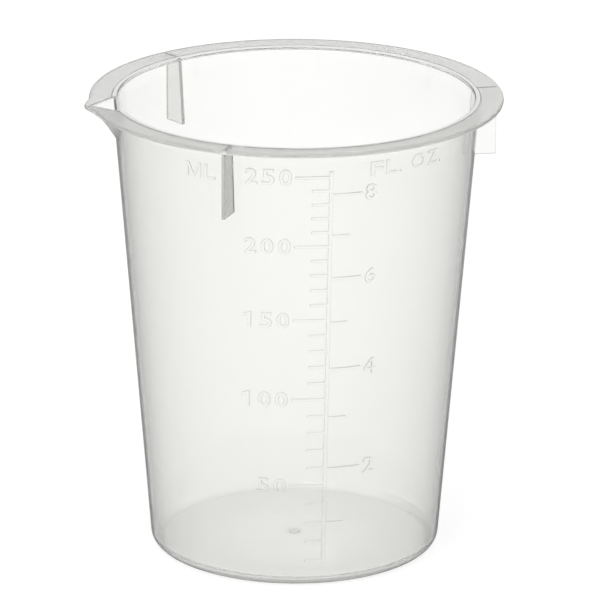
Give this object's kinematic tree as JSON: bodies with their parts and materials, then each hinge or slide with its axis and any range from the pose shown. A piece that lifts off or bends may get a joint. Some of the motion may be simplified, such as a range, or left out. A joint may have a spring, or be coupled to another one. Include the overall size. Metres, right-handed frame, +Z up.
{
  "type": "disposable beaker",
  "caption": "Tapered open plastic beaker with a flat rim flange, a small V-shaped pouring spout, upright stacking fins and a raised volume scale on the outside.",
  "frame": {"origin": "on the beaker's axis, on the surface that it stands on", "axes": "+Z up along the axis through the mouth; the pouring spout points along -X; the scale faces -Y"},
  "size_m": [0.0817, 0.0804, 0.0911],
  "materials": {
    "milky_polypropylene": "smooth, clear to slightly milky, see-through",
    "raised_markings": "the same plastic as the wall, standing out as raised lines and figures"
  },
  "bodies": {
    "root": {"base_floor": "milky_polypropylene", "side_wall": "milky_polypropylene", "rim_flange": "milky_polypropylene", "pour_spout": "milky_polypropylene", "stacking_fin_front": "milky_polypropylene", "stacking_fin_rear": "milky_polypropylene", "stacking_fin_right": "milky_polypropylene", "graduation_scale": "raised_markings", "digit_50_ml_1": "raised_markings", "digit_50_ml_2": "raised_markings", "digit_100_ml_1": "raised_markings", "digit_100_ml_2": "raised_markings", "digit_100_ml_3": "raised_markings", "digit_150_ml_1": "raised_markings", "digit_150_ml_2": "raised_markings", "digit_150_ml_3": "raised_markings", "digit_200_ml_1": "raised_markings", "digit_200_ml_2": "raised_markings", "digit_200_ml_3": "raised_markings", "digit_250_ml_1": "raised_markings", "digit_250_ml_2": "raised_markings", "digit_250_ml_3": "raised_markings", "digit_2_oz_1": "raised_markings", "digit_4_oz_1": "raised_markings", "digit_6_oz_1": "raised_markings", "digit_8_oz_1": "raised_markings", "label_ML_M": "raised_markings", "label_ML_L": "raised_markings", "label_FL_F": "raised_markings", "label_FL_L": "raised_markings", "label_FL_dot": "raised_markings", "label_OZ_O": "raised_markings", "label_OZ_Z": "raised_markings", "label_OZ_dot": "raised_markings"}
  },
  "joints": []
}
